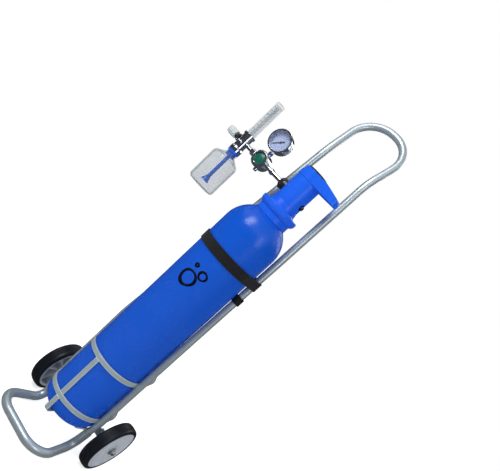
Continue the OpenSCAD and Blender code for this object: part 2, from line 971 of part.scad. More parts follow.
// Hose nozzle at the front of the flowmeter, with a plain shank for a pushed-on hose
module hose_nozzle() {
    color("silver")
    pointing_front(meter_x, -8.2, outlet_z - 6)
    difference() {
        union() {
            cylinder(r = 3, h = 14);
            translate([0, 0, 6.5]) hex_bar(10, 4);
            translate([0, 0, 10]) cylinder(r = 3.2, h = 10);
            translate([0, 0, 20]) cylinder(r1 = 3.2, r2 = 2.4, h = 3);
        }
        translate([0, 0, -1]) cylinder(r = 1.5, h = 40);
    }
}

// Blue threaded collar that joins the bottle to the flowmeter
module bottle_collar() {
    color("dodgerblue")
    translate([meter_x, 0, bottle_neck_z - 12])
    difference() {
        union() {
            translate([0, 0, 12.2]) cylinder(r = 15.5, h = 5.7);
            cylinder(r = 12, h = 22);
        }
        translate([0, 0, -1]) cylinder(r = 10, h = 30);
    }
}

module bottle_profile(shrink) {
    neck = 14.5 - shrink;
    body = bottle_r - shrink;
    heel = 8 - shrink / 2;
    bottom = bottle_bottom_z + shrink;
    polygon([
        [0, bottom + heel], [body, bottom + heel], [body, bottle_shoulder_z - shrink / 2],
        [body - 4, bottle_shoulder_z + 7 - shrink], [body - 13, bottle_shoulder_z + 12 - shrink],
        [neck, bottle_neck_z - 7 - shrink / 2], [neck, bottle_neck_z + (shrink > 0 ? 1 : 0)],
        [0, bottle_neck_z + (shrink > 0 ? 1 : 0)]]);
    translate([0, bottom]) square([body - heel, heel]);
    translate([body - heel, bottom + heel])
    intersection() {
        circle(r = heel);
        translate([0, -heel]) square([heel, heel]);
    }
}

module humidifier_bottle() {
    color("aliceblue", 0.35)
    translate([meter_x, 0, 0])
    rotate_extrude()
    difference() {
        bottle_profile(0);
        bottle_profile(2);
    }
}

module dip_tube() {
    low = bottle_bottom_z + 26;
    color("royalblue")
    translate([meter_x, 0, low])
    hollow(4.5, 3, meter_bottom_z + 8 - low - 0.2);
}

// Arrow-shaped foot that breaks the gas into bubbles
module bubble_diffuser() {
    color("royalblue")
    translate([meter_x, 0, bottle_bottom_z + 16])
    difference() {
        union() {
            cylinder(r1 = 11, r2 = 7, h = 9);
            translate([0, 0, 9]) cylinder(r = 6.5, h = 5);
        }
        translate([0, 0, 9.8]) cylinder(r = 4.5 + weld_gap, h = 10);
        translate([0, 0, 4]) cylinder(r = 3, h = 10);
        for (a = [0 : 60 : 300])
            rotate(a) translate([4, 0, -1]) cylinder(r = 0.8, h = 8);
    }
}

translate(plan_shift) rail_and_handle_tube();
translate(plan_shift) foot_loop();
translate(plan_shift) lower_rear_hoop();
translate(plan_shift) upper_rear_hoop();
translate(plan_shift) lower_front_hoop();
translate(plan_shift) upper_front_hoop();
translate(plan_shift) front_upright();
translate(plan_shift) bottom_hook();
translate(plan_shift) bottom_cradle();
translate(plan_shift) axle_arms();
translate(plan_shift) stub_axles();
translate(plan_shift) axle_cap_nuts();
translate(plan_shift) axle_washers();
translate(plan_shift) right_tyre();
translate(plan_shift) right_hub();
translate(plan_shift) right_bushes();
translate(plan_shift) left_tyre();
translate(plan_shift) left_hub();
translate(plan_shift) left_bushes();
translate(plan_shift) strap();
translate(plan_shift) strap_buckle();
translate(plan_shift) strap_rail_clips();
translate(plan_shift) cylinder_shell();
translate(plan_shift) valve_body();
translate(plan_shift) valve_gland_nut();
translate(plan_shift) valve_spindle();
translate(plan_shift) valve_handwheel();
translate(plan_shift) handwheel_screw();
translate(plan_shift) burst_disc_plug();
translate(plan_shift) valve_guard();
translate(plan_shift) inlet_nut();
translate(plan_shift) inlet_stem();
translate(plan_shift) regulator_body();
translate(plan_shift) regulator_bezel();
translate(plan_shift) regulator_cover();
translate(plan_shift) diaphragm();
translate(plan_shift) relief_valve();
translate(plan_shift) gauge_stem();
translate(plan_shift) gauge_case();
translate(plan_shift) gauge_dial();
translate(plan_shift) gauge_lens();
translate(plan_shift) bourdon_tube();
translate(plan_shift) gauge_pointer();
translate(plan_shift) outlet_nipple();
translate(plan_shift) flowmeter_body();
translate(plan_shift) flow_tube();
translate(plan_shift) metering_tube();
translate(plan_shift) float_ball();
translate(plan_shift) knob_packing_nut();
translate(plan_shift) flow_knob();
translate(plan_shift) needle_stem();
translate(plan_shift) hose_nozzle();
translate(plan_shift) bottle_collar();
translate(plan_shift) humidifier_bottle();
translate(plan_shift) dip_tube();
translate(plan_shift) bubble_diffuser();
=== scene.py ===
"""Looks of the oxygen cylinder on its hand cart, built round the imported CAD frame."""
import json
import math

import bpy
from mathutils import Matrix, Vector


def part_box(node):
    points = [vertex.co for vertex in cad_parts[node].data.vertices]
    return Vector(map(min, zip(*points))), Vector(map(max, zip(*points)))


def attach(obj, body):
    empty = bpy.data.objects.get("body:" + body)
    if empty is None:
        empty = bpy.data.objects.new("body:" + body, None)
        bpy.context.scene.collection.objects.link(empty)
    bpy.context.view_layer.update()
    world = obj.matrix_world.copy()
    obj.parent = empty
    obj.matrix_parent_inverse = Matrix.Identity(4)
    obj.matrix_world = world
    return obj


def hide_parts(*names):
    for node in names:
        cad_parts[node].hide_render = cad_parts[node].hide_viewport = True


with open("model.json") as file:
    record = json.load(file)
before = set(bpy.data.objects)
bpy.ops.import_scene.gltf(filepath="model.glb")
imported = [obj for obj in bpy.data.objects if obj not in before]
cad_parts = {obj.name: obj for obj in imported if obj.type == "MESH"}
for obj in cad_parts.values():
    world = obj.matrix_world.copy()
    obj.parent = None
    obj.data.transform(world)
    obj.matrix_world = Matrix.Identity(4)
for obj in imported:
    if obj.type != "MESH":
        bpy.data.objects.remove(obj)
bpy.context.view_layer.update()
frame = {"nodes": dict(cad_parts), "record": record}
nodes = frame["nodes"]


def centre(node):
    """Middle of a node's box."""
    low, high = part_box(node)
    return Vector([(a + b) / 2 for a, b in zip(low, high)])


# The cart's own axis: the middle of the cylinder, with its height above the floor
shell_low, shell_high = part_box("cylinder_shell")
AXIS = Vector(((shell_low[0] + shell_high[0]) / 2, (shell_low[1] + shell_high[1]) / 2, 0))
CYL_R = (shell_high[0] - shell_low[0]) / 2


def at(x, y, z):
    """A point in millimetres from the cylinder's axis and the floor."""
    return AXIS + Vector((x, y, z)) / 1000


RAIL_X, RAIL_Y = 86.5, 11  # the right rail's middle line beside the cylinder, in millimetres


# ---------------------------------------------------------------- materials

def graph(name):
    """A new material, its node tree and its main shader."""
    material = bpy.data.materials.new(name)
    material.use_nodes = True
    tree = material.node_tree
    tree.nodes.clear()
    out = tree.nodes.new("ShaderNodeOutputMaterial")
    shader = tree.nodes.new("ShaderNodeBsdfPrincipled")
    tree.links.new(shader.outputs[0], out.inputs[0])
    return material, tree, shader


def place(tree, stretch=(1, 1, 1)):
    """Object coordinates in metres, stretched along each axis."""
    where = tree.nodes.new("ShaderNodeTexCoord")
    mapping = tree.nodes.new("ShaderNodeMapping")
    mapping.inputs["Scale"].default_value = stretch
    tree.links.new(where.outputs["Object"], mapping.inputs["Vector"])
    return mapping.outputs[0]


def noise(tree, scale, detail=4, rough=0.55, stretch=(1, 1, 1)):
    """Fractal noise with so many features to the metre."""
    n = tree.nodes.new("ShaderNodeTexNoise")
    n.inputs["Scale"].default_value = scale
    n.inputs["Detail"].default_value = detail
    n.inputs["Roughness"].default_value = rough
    tree.links.new(place(tree, stretch), n.inputs["Vector"])
    return n.outputs["Fac"]


def span(tree, value, low, high, to_low=0.0, to_high=1.0):
    """Maps low..high of a value to to_low..to_high, and clamps it there."""
    n = tree.nodes.new("ShaderNodeMapRange")
    n.inputs["From Min"].default_value = low
    n.inputs["From Max"].default_value = high
    n.inputs["To Min"].default_value = to_low
    n.inputs["To Max"].default_value = to_high
    tree.links.new(value, n.inputs["Value"])
    return n.outputs["Result"]


def mix(tree, factor, first, second):
    """Blend of two colours, each a tuple or another node's output."""
    n = tree.nodes.new("ShaderNodeMix")
    n.data_type = "RGBA"
    tree.links.new(factor, n.inputs[0])
    for socket, colour in ((n.inputs[6], first), (n.inputs[7], second)):
        if hasattr(colour, "links"):
            tree.links.new(colour, socket)
        else:
            socket.default_value = (*colour, 1)
    return n.outputs[2]


def bump(tree, shader, heights, round_edge=0.0):
    """Stacks (height, strength, distance) bumps on the normal, over softly rounded edges."""
    last = None
    if round_edge:
        soft = tree.nodes.new("ShaderNodeBevel")
        soft.samples = 6
        soft.inputs["Radius"].default_value = round_edge
        last = soft.outputs[0]
    for height, strength, distance in heights:
        n = tree.nodes.new("ShaderNodeBump")
        n.inputs["Strength"].default_value = strength
        n.inputs["Distance"].default_value = distance
        tree.links.new(height, n.inputs["Height"])
        if last:
            tree.links.new(last, n.inputs["Normal"])
        last = n.outputs[0]
    tree.links.new(last, shader.inputs["Normal"])


def finish_of(name, colour, worn, rough, metallic=0.0, coarse=18, fine=600, depth=0.00012,
              wear=0.5, scratches=0.0, specular=0.5, edge=0.0006, painted_edge_highlight=0.0):
    """A worn opaque surface: patches of a second colour, uneven gloss, grain and fine scratches.

    edge is the radius of the softened edges; the last argument sets how far they turn pale, a painted
    highlight standing in for the light caught along them.
    """
    material, tree, shader = graph(name)
    patches = span(tree, noise(tree, coarse, 6, 0.6), 0.35, 0.75, 0.0, wear)
    colour_out = mix(tree, patches, colour, worn)
    grain = noise(tree, fine, 3, 0.5)
    heights = [(grain, 0.35, depth)]
    if scratches:
        lines = noise(tree, 90, 8, 0.7, (1.0, 1.0, 14.0))
        marks = span(tree, lines, 0.66, 0.70, 0.0, scratches)
        colour_out = mix(tree, marks, colour_out, tuple(min(1, c * 0.6 + 0.25) for c in colour))
        heights.append((marks, 0.3, 0.00005))
    # Painted highlight: the softened edges are coloured pale, standing in for the light they catch.
    if painted_edge_highlight:
        soft = tree.nodes.new("ShaderNodeBevel")
        soft.samples = 6
        soft.inputs["Radius"].default_value = edge * 1.8
        flat = tree.nodes.new("ShaderNodeNewGeometry")
        along = tree.nodes.new("ShaderNodeVectorMath")
        along.operation = "DOT_PRODUCT"
        tree.links.new(soft.outputs[0], along.inputs[0])
        tree.links.new(flat.outputs["True Normal"], along.inputs[1])
        bright = span(tree, along.outputs["Value"], 0.999, 0.95, 0.0, painted_edge_highlight)
        colour_out = mix(tree, bright, colour_out, tuple(min(1, c * 0.5 + 0.58) for c in colour))
    tree.links.new(colour_out, shader.inputs["Base Color"])
    gloss = span(tree, noise(tree, coarse * 2.3, 5, 0.6), 0.3, 0.7, rough[0], rough[1])
    tree.links.new(gloss, shader.inputs["Roughness"])
    shader.inputs["Metallic"].default_value = metallic
    shader.inputs["Specular IOR Level"].default_value = specular
    bump(tree, shader, heights, edge)
    return material


def clear_of(name, tint, rough, see_through, marks=0.3):
    """Clear moulded plastic: tinted, glossy and mostly see-through, denser towards its outline."""
    material, tree, shader = graph(name)
    cloud = span(tree, noise(tree, 28, 5, 0.6), 0.35, 0.75)
    tree.links.new(mix(tree, cloud, tint, tuple(c * 0.82 for c in tint)),
                   shader.inputs["Base Color"])
    gloss = span(tree, noise(tree, 60, 4, 0.6), 0.3, 0.7, rough * 0.6, rough * 1.6)
    tree.links.new(gloss, shader.inputs["Roughness"])
    haze = span(tree, noise(tree, 16, 3, 0.5), 0.3, 0.75, see_through, see_through + 0.05)
    rim = tree.nodes.new("ShaderNodeLayerWeight")
    rim.inputs["Blend"].default_value = 0.25
    thick = span(tree, rim.outputs["Facing"], 0.25, 0.95, 0.0, 0.55)
    total = tree.nodes.new("ShaderNodeMath")
    total.operation = "ADD"
    tree.links.new(haze, total.inputs[0])
    tree.links.new(thick, total.inputs[1])
    tree.links.new(total.outputs[0], shader.inputs["Alpha"])
    shader.inputs["IOR"].default_value = 1.49
    bump(tree, shader, [(noise(tree, 90, 3, 0.5), marks, 0.0002)])
    return material


def webbing_of(name, colour, pitch):
    """Woven webbing: a fine twill in the shader over the modelled ribs."""
    material, tree, shader = graph(name)
    where = tree.nodes.new("ShaderNodeUVMap")
    where.uv_map = "weave"
    waves = []
    for angle in (0.6, -0.6):
        turn = tree.nodes.new("ShaderNodeMapping")
        turn.inputs["Rotation"].default_value = (0, 0, angle)
        tree.links.new(where.outputs[0], turn.inputs["Vector"])
        wave = tree.nodes.new("ShaderNodeTexWave")
        wave.inputs["Scale"].default_value = 1 / pitch
        wave.inputs["Distortion"].default_value = 0.6
        tree.links.new(turn.outputs[0], wave.inputs["Vector"])
        waves.append(wave.outputs["Fac"])
    both = tree.nodes.new("ShaderNodeMath")
    both.operation = "MULTIPLY"
    tree.links.new(waves[0], both.inputs[0])
    tree.links.new(waves[1], both.inputs[1])
    light = tuple(c * 2.0 + 0.004 for c in colour)
    woven = mix(tree, both.outputs[0], colour, light)
    dusty = span(tree, noise(tree, 30, 6, 0.6), 0.5, 0.8, 0.0, 0.3)
    tree.links.new(mix(tree, dusty, woven, (0.016, 0.016, 0.018)), shader.inputs["Base Color"])
    shader.inputs["Roughness"].default_value = 0.82
    shader.inputs["Sheen Weight"].default_value = 0.06
    shader.inputs["Specular IOR Level"].default_value = 0.25
    bump(tree, shader, [(both.outputs[0], 0.7, 0.0004), (noise(tree, 900, 2), 0.3, 0.0001)])
    return material


def frosted_of(name, colour):
    """Milky moulded plastic that lets some light through."""
    material, tree, shader = graph(name)
    cloud = span(tree, noise(tree, 80, 5, 0.6), 0.3, 0.75)
    tree.links.new(mix(tree, cloud, colour, tuple(c * 0.88 for c in colour)),
                   shader.inputs["Base Color"])
    gloss = span(tree, noise(tree, 150, 4), 0.3, 0.7, 0.25, 0.45)
    tree.links.new(gloss, shader.inputs["Roughness"])
    shader.inputs["Transmission Weight"].default_value = 0.25
    bump(tree, shader, [(noise(tree, 1200, 3), 0.3, 0.00006)])
    return material


FINISHES = {
    "cylinder_paint": finish_of("cylinder_paint", (0.004, 0.092, 0.60), (0.004, 0.076, 0.53),
                                (0.20, 0.32), coarse=7, fine=260, depth=0.00006, wear=0.35,
                                scratches=0.05, specular=0.30, edge=0.0),
    "guard_plastic": finish_of("guard_plastic", (0.010, 0.125, 0.84), (0.008, 0.105, 0.74),
                               (0.26, 0.40), coarse=22, fine=400, depth=0.00003, wear=0.35,
                               scratches=0.05, specular=0.30, edge=0.0012),
    "zinc_tube": finish_of("zinc_tube", (0.52, 0.60, 0.64), (0.42, 0.48, 0.52), (0.32, 0.44),
                           metallic=0.62, coarse=9, fine=30, depth=0.000002, wear=0.4,
                           edge=0.0),
    # Cage bars: pale painted highlights along their edges.
    "cage_bar": finish_of("cage_bar", (0.46, 0.56, 0.57), (0.38, 0.47, 0.47), (0.30, 0.44),
                          metallic=0.35, coarse=30, fine=300, depth=0.00002, wear=0.5,
                          edge=0.0016, painted_edge_highlight=1.0),
    "hub_plastic": finish_of("hub_plastic", (0.56, 0.60, 0.66), (0.40, 0.43, 0.47), (0.34, 0.5),
                             coarse=42, fine=420, depth=0.00006, wear=0.7, edge=0.0012),
    "tyre_rubber": finish_of("tyre_rubber", (0.005, 0.007, 0.012), (0.012, 0.014, 0.018),
                             (0.28, 0.46), coarse=26, fine=420, depth=0.00012, wear=0.7,
                             specular=0.28, edge=0.0),
    "black_plastic": finish_of("black_plastic", (0.008, 0.008, 0.010), (0.018, 0.018, 0.020),
                               (0.32, 0.5), coarse=50, fine=700, depth=0.00004, specular=0.35),
    "black_rubber": finish_of("black_rubber", (0.007, 0.007, 0.008), (0.018, 0.018, 0.018),
                              (0.55, 0.75), coarse=50, fine=700, depth=0.00008, specular=0.25),
    "brass": finish_of("brass", (0.70, 0.47, 0.17), (0.45, 0.28, 0.10), (0.22, 0.4),
                       metallic=1.0, coarse=60, fine=1500, depth=0.00004),
    "chrome": finish_of("chrome", (0.74, 0.77, 0.81), (0.62, 0.65, 0.69), (0.06, 0.13),
                        metallic=1.0, coarse=40, fine=300, depth=0.000004, wear=0.4),
    "plated_steel": finish_of("plated_steel", (0.55, 0.56, 0.57), (0.38, 0.38, 0.38),
                              (0.25, 0.42), metallic=1.0, coarse=70, fine=1800, depth=0.00003),
    "dark_steel": finish_of("dark_steel", (0.035, 0.042, 0.05), (0.10, 0.10, 0.11),
                            (0.28, 0.45), metallic=0.7, coarse=80, fine=1800, depth=0.00004),
    "dial_face": finish_of("dial_face", (0.42, 0.50, 0.76), (0.37, 0.45, 0.69), (0.35, 0.5),
                           coarse=70, fine=2000, depth=0.00001, wear=0.3),
    "pointer_black": finish_of("pointer_black", (0.01, 0.01, 0.012), (0.03, 0.03, 0.03),
                               (0.3, 0.45), coarse=90, fine=2500, depth=0.00001),
    "green_cover": finish_of("green_cover", (0.004, 0.13, 0.085), (0.003, 0.085, 0.06),
                             (0.22, 0.38), coarse=70, fine=1400, depth=0.00005),
    "blue_trim": finish_of("blue_trim", (0.015, 0.12, 0.72), (0.012, 0.09, 0.55), (0.25, 0.4),
                           coarse=70, fine=1500, depth=0.00004),
    "bush_plastic": finish_of("bush_plastic", (0.7, 0.68, 0.6), (0.55, 0.53, 0.47), (0.4, 0.6),
                              coarse=80, fine=1500, depth=0.00004),
    "clear_plastic": clear_of("clear_plastic", (0.21, 0.30, 0.37), 0.08, 0.13, marks=0.03),
    "knob_plastic": frosted_of("knob_plastic", (0.74, 0.82, 0.80)),
    "strap_web": webbing_of("strap_web", (0.008, 0.008, 0.010), 0.0022),
}
LENS = clear_of("lens_plastic", (0.45, 0.52, 0.66), 0.05, 0.02, marks=0.01)
INK = finish_of("printed_ink", (0.003, 0.003, 0.006), (0.008, 0.008, 0.012), (0.35, 0.5),
                coarse=60, fine=500, depth=0.00002, specular=0.15)
WELD = finish_of("weld_metal", (0.50, 0.52, 0.53), (0.30, 0.31, 0.32), (0.3, 0.5),
                 metallic=0.95, coarse=140, fine=1400, depth=0.0001)

for entry in frame["record"]["subparts"]:
    for holder in nodes[entry["node"]].material_slots:
        holder.material = FINISHES[entry["material_slot"]]
for holder in nodes["gauge_lens"].material_slots:
    holder.material = LENS


# ---------------------------------------------------------------- mesh tools

def mesh_piece(name, verts, faces, material, body, smooth=True):
    """A new visible piece that rides a body."""
    mesh = bpy.data.meshes.new(name)
    mesh.from_pydata([tuple(v) for v in verts], [], faces)
    mesh.update()
    for poly in mesh.polygons:
        poly.use_smooth = smooth
    piece = bpy.data.objects.new(name, mesh)
    bpy.context.scene.collection.objects.link(piece)
    piece.data.materials.append(material)
    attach(piece, body)
    return piece


def bead(path, radius, sides=10, closed=True, ripple=0.22, seed=0.0):
    """Vertices and faces of a round bead with weld ripples along a path."""
    verts, faces, count = [], [], len(path)
    for i, p in enumerate(path):
        before = path[i - 1] if closed or i else path[0]
        after = path[(i + 1) % count] if closed or i < count - 1 else path[-1]
        along = (after - before).normalized()
        side = along.cross(Vector((0.31, 0.52, 0.79))).normalized()
        up = along.cross(side)
        r = radius * (1 + ripple * math.sin(i * 2.1 + seed) * 0.6)
        if not closed and i in (0, count - 1):
            r *= 0.35
        for k in range(sides):
            a = 2 * math.pi * k / sides
            verts.append(p + (side * math.cos(a) + up * math.sin(a)) * r)
    for i in range(count if closed else count - 1):
        j = (i + 1) % count
        for k in range(sides):
            m = (k + 1) % sides
            faces.append((i * sides + k, i * sides + m, j * sides + m, j * sides + k))
    if not closed:
        faces.append(tuple(range(sides))[::-1])
        faces.append(tuple((count - 1) * sides + k for k in range(sides)))
    return verts, faces


def join(parts):
    """One list of vertices and faces from several."""
    verts, faces = [], []
    for v, f in parts:
        faces += [tuple(i + len(verts) for i in face) for face in f]
        verts += v
    return verts, faces


# ---------------------------------------------------------------- tyres

def tyre(name, node, body):
    """Solid rubber tyre with a ribbed tread and a moulded bead on each side."""
    low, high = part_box(node)
    mid = centre(node)
    outer = (high[2] - low[2]) / 2
    half = (high[0] - low[0]) / 2
    seat = outer - 0.011
    profile = [(seat, -half), (seat + 0.0022, -half), (seat + 0.0030, -half + 0.0006),
               (seat + 0.0036, -half + 0.0001)]
    arc = 9
    for i in range(arc + 1):
        a = math.pi / 2 * i / arc
        profile.append((outer - 0.0075 + 0.0066 * math.sin(a), -half + 0.0068 - 0.0068 * math.cos(a)))
    ribs = 5
    tread = half - 0.0072
    for k in range(ribs):
        x0 = -tread + 2 * tread * k / ribs
        x1 = -tread + 2 * tread * (k + 1) / ribs
        gap = 0.0005
        for x, drop in ((x0 + gap, 0.0), (x1 - gap, 0.0), (x1 - gap * 0.6, 0.0011),
                        (x1 + gap * 0.6, 0.0011)):
            if k == ribs - 1 and drop:
                continue
            crown = 0.0007 * (x / tread) ** 2
            profile.append((outer - crown - drop, x))
    for r, x in reversed(profile[4:4 + arc + 1]):
        profile.append((r, -x))
    for r, x in reversed(profile[0:4]):
        profile.append((r, -x))
    turns = 160
    verts, faces, n = [], [], len(profile)
    for i in range(turns):
        a = 2 * math.pi * i / turns
        for r, x in profile:
            verts.append(mid + Vector((x, r * math.cos(a), r * math.sin(a))))
    for i in range(turns):
        j = (i + 1) % turns
        for k in range(n):
            m = (k + 1) % n
            faces.append((i * n + k, i * n + m, j * n + m, j * n + k))
    piece = mesh_piece(name, verts, faces, FINISHES["tyre_rubber"], body)
    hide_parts(node)


tyre("ribbed_tyre_right", "right_tyre", "right_wheel")
tyre("ribbed_tyre_left", "left_tyre", "left_wheel")


# ---------------------------------------------------------------- strap

def hull(points):
    """Convex outline round flat points, in order."""
    points = sorted(set(points))

    def half(seq):
        out = []
        for p in seq:
            while len(out) > 1 and ((out[-1][0] - out[-2][0]) * (p[1] - out[-2][1])
                                    - (out[-1][1] - out[-2][1]) * (p[0] - out[-2][0])) <= 0:
                out.pop()
            out.append(p)
        return out[:-1]
    return half(points) + half(reversed(points))


def strap():
    """Webbing with raised selvedges and woven ribs, pulled round the cylinder and rails."""
    low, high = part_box("strap")
    mid_z = (low[2] + high[2]) / 2
    width = high[2] - low[2]
    thick = 0.0017
    clearance = 0.0008
    inner = CYL_R + clearance
    rail = 0.009 + clearance
    rail_y = AXIS.y + 0.0404
    outer_gap = 0.0022  # webbing, ribs and clearance outside the rail's arc
    reach = (high[0] - low[0]) / 2 - outer_gap - rail
    ring = []
    for cx, cy, r in ((AXIS.x, AXIS.y, inner), (AXIS.x - reach, rail_y, rail),
                      (AXIS.x + reach, rail_y, rail)):
        for i in range(180):
            a = 2 * math.pi * i / 180
            ring.append((cx + r * math.cos(a), cy + r * math.sin(a)))
    loop = [Vector(p) for p in hull(ring)]
    lengths = [0.0]
    for i in range(len(loop)):
        lengths.append(lengths[-1] + (loop[(i + 1) % len(loop)] - loop[i]).length)
    total = lengths[-1]
    steps = 420
    path = []
    j = 0
    for i in range(steps):
        s = total * i / steps
        while lengths[j + 1] < s:
            j += 1
        t = (s - lengths[j]) / max(lengths[j + 1] - lengths[j], 1e-9)
        path.append(loop[j].lerp(loop[(j + 1) % len(loop)], t))
    across = 26
    verts, faces, uvs = [], [], []
    for i, p in enumerate(path):
        tangent = (path[(i + 1) % steps] - path[i - 1]).normalized()
        out = Vector((tangent.y, -tangent.x))
        for side in (0, 1):
            for k in range(across + 1):
                u = k / across
                if side:
                    u = 1 - u
                edge = min(u, 1 - u)
                lift = thick if side == 0 else 0.0
                if side == 0:
                    lift += 0.00022 * (k % 2) + (0.0002 if edge < 0.09 else 0.0)
                    lift += 0.00010 * ((i // 2) % 2)
                    lift -= 0.0009 * max(0.0, 1 - edge / 0.03)
                else:
                    lift += 0.0005 * max(0.0, 1 - edge / 0.03)
                q = p + out * lift
                verts.append((q.x, q.y, mid_z + (u - 0.5) * width))
                uvs.append((total * i / steps, u * width))
    n = 2 * (across + 1)
    for i in range(steps):
        j = (i + 1) % steps
        for k in range(n):
            m = (k + 1) % n
            faces.append((i * n + k, j * n + k, j * n + m, i * n + m))
    piece = mesh_piece("strap_webbing", verts, faces, FINISHES["strap_web"], "frame")
    layer = piece.data.uv_layers.new(name="weave")
    for poly in piece.data.polygons:
        for li in poly.loop_indices:
            layer.data[li].uv = uvs[piece.data.loops[li].vertex_index]
    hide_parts("strap")


strap()


# ---------------------------------------------------------------- welds

def saddle(side, z):
    """Line where a rear hoop's end meets the rail, as a closed loop on both tubes."""
    r = 0.0092
    off_rail = 0.0004
    rail = at(side * RAIL_X, RAIL_Y, z)
    points = []
    for i in range(64):
        t = 2 * math.pi * i / 64
        points.append(rail + Vector((r * math.cos(t), r * abs(math.sin(t)) + off_rail,
                                     r * math.sin(t))))
    return points


def weld_beads():
    """A saddle of weld at each end of the rear hoops, and two lines at each front hoop's end."""
    welds = []
    for node in ("lower_rear_hoop", "upper_rear_hoop"):
        z = centre(node).z * 1000
        for side in (-1, 1):
            welds.append(bead(saddle(side, z), 0.0013, seed=z + side))
    bar_inside, bar_outside = (76.7, 9.3), (79.3, 6.3)
    steps = 14
    for node in ("lower_front_hoop", "upper_front_hoop"):
        low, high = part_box(node)
        for side in (-1, 1):
            for x, y in (bar_inside, bar_outside):
                line = [at(side * x, y, 0) + Vector((0, 0, low[2] + (high[2] - low[2]) * i / steps))
                        for i in range(steps + 1)]
                welds.append(bead(line, 0.0011, closed=False, seed=side * x))
    verts, faces = join(welds)
    piece = mesh_piece("weld_beads", verts, faces, WELD, "frame")


weld_beads()


# ---------------------------------------------------------------- gauge and tube markings

def plate(outline, thick, lift=0.0):
    """A thin closed plate from a 2D outline in metres: x to the right and y up, facing -Y."""
    n = len(outline)
    verts = [Vector((x, -lift, y)) for x, y in outline]
    verts += [Vector((x, -lift - thick, y)) for x, y in outline]
    faces = [tuple(range(n))[::-1], tuple(range(n, 2 * n))]
    for i in range(n):
        j = (i + 1) % n
        faces.append((i, j, n + j, n + i))
    return verts, [f[::-1] for f in faces]


def dial_marks():
    """Ticks without figures along 270 degrees, their arc, and a red end to the scale."""
    low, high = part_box("gauge_dial")
    mid = centre("gauge_dial")
    face_y = low[1]
    r = (high[0] - low[0]) / 2
    first, sweep, ticks = 225, 270, 50
    parts = []
    for i in range(ticks + 1):
        a = math.radians(first - sweep * i / ticks)
        long = 0.0042 if i % 10 == 0 else (0.0030 if i % 5 == 0 else 0.0019)
        wide = 0.00045 if i % 10 == 0 else 0.00022
        c, s = math.cos(a), math.sin(a)
        outer = r * 0.90
        pts = [(outer, -wide), (outer, wide), (outer - long, wide), (outer - long, -wide)]
        parts.append(plate([(c * x - s * y, s * x + c * y) for x, y in pts], 0.00012))
    arc = []
    for i in range(60):
        a = math.radians(first - sweep * i / 59)
        arc.append((math.cos(a) * r * 0.915, math.sin(a) * r * 0.915))
    for i in range(59, -1, -1):
        a = math.radians(first - sweep * i / 59)
        arc.append((math.cos(a) * r * 0.90, math.sin(a) * r * 0.90))
    parts.append(plate(arc, 0.0001))
    verts, faces = join(parts)
    verts = [Vector((mid.x, face_y, mid.z)) + v for v in verts]
    piece = mesh_piece("dial_ticks", verts, faces, INK, "frame", smooth=False)
    outline = []
    for ring, order in ((0.895, range(13)), (0.845, range(12, -1, -1))):
        for i in order:
            a = math.radians(-15 - 30 * i / 12)
            outline.append((math.cos(a) * r * ring, math.sin(a) * r * ring))
    verts, faces = plate(outline, 0.00008)
    verts = [Vector((mid.x, face_y, mid.z)) + v for v in verts]
    red = finish_of("dial_red", (0.55, 0.02, 0.02), (0.45, 0.02, 0.02), (0.3, 0.45), fine=2000,
                    depth=0.00001)
    piece = mesh_piece("dial_red_zone", verts, faces, red, "frame", smooth=False)


dial_marks()


def ring_ticks(name, node, heights, thick, body):
    """Short printed scale lines wrapped round the front of a round clear tube."""
    low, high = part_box(node)
    mid = centre(node)
    radius = (high[0] - low[0]) / 2
    print_lift = 0.00015
    parts = []
    for z, angle in heights:
        a0, a1 = math.radians(270 - angle / 2), math.radians(270 + angle / 2)
        steps = 8
        verts, faces = [], []
        for i in range(steps + 1):
            a = a0 + (a1 - a0) * i / steps
            for r, dz in ((radius, -thick), (radius, thick), (radius + print_lift, thick),
                          (radius + print_lift, -thick)):
                verts.append(Vector((mid.x + r * math.cos(a), mid.y + r * math.sin(a), z + dz)))
        for i in range(steps):
            for k in range(4):
                m = (k + 1) % 4
                faces.append((4 * i + k, 4 * i + m, 4 * i + 4 + m, 4 * i + 4 + k))
        faces.append((0, 3, 2, 1))
        faces.append((4 * steps, 4 * steps + 1, 4 * steps + 2, 4 * steps + 3))
        parts.append((verts, faces))
    verts, faces = join(parts)
    piece = mesh_piece(name, verts, faces, INK, body)


tube_low, tube_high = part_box("flow_tube")
tube_length = tube_high[2] - tube_low[2]
ring_ticks("flow_scale", "flow_tube",
           [(tube_low[2] + tube_length * (0.20 + 0.11 * i), 44 if i % 2 == 0 else 26)
            for i in range(7)], 0.0003, "frame")


# ---------------------------------------------------------------- printed mark on the cylinder

def printed_mark():
    """A generic mark: three gas bubbles of different sizes, wrapped on the cylinder."""
    r = CYL_R + 0.0001
    mid_angle = math.radians(276)
    mid_z = 0.530

    def bubble(u0, v0, outer, inner, start):
        """An uneven brushed ring at u0 along the wall and v0 up it."""
        n = 72
        verts, faces = [], []
        for i in range(n):
            a = 2 * math.pi * i / n
            brush = 1 + 0.05 * math.sin(a * 2 + start) + 0.03 * math.sin(3 * a + 1)
            for rad in (inner, outer):
                rr = rad * brush if rad == outer else rad * (1 + 0.08 * math.sin(a + start))
                u, v = u0 + rr * math.cos(a), v0 + rr * math.sin(a)
                for lift in (0.0, 0.00015):
                    t = mid_angle + u / r
                    verts.append(Vector((AXIS.x + (r + lift) * math.cos(t),
                                         AXIS.y + (r + lift) * math.sin(t), mid_z + v)))
        for i in range(n):
            j = (i + 1) % n
            for p, q in ((0, 1), (1, 3), (3, 2), (2, 0)):
                faces.append((4 * i + p, 4 * i + q, 4 * j + q, 4 * j + p))
        return verts, faces

    parts = [bubble(-0.006, -0.010, 0.0215, 0.0150, 0.6),
             bubble(0.0165, 0.0165, 0.0120, 0.0072, 2.0),
             bubble(-0.0110, 0.0245, 0.0062, 0.0012, 1.0)]
    verts, faces = join(parts)
    piece = mesh_piece("bubble_mark", verts, faces, INK, "frame")


printed_mark()


# ---------------------------------------------------------------- stage, light, camera

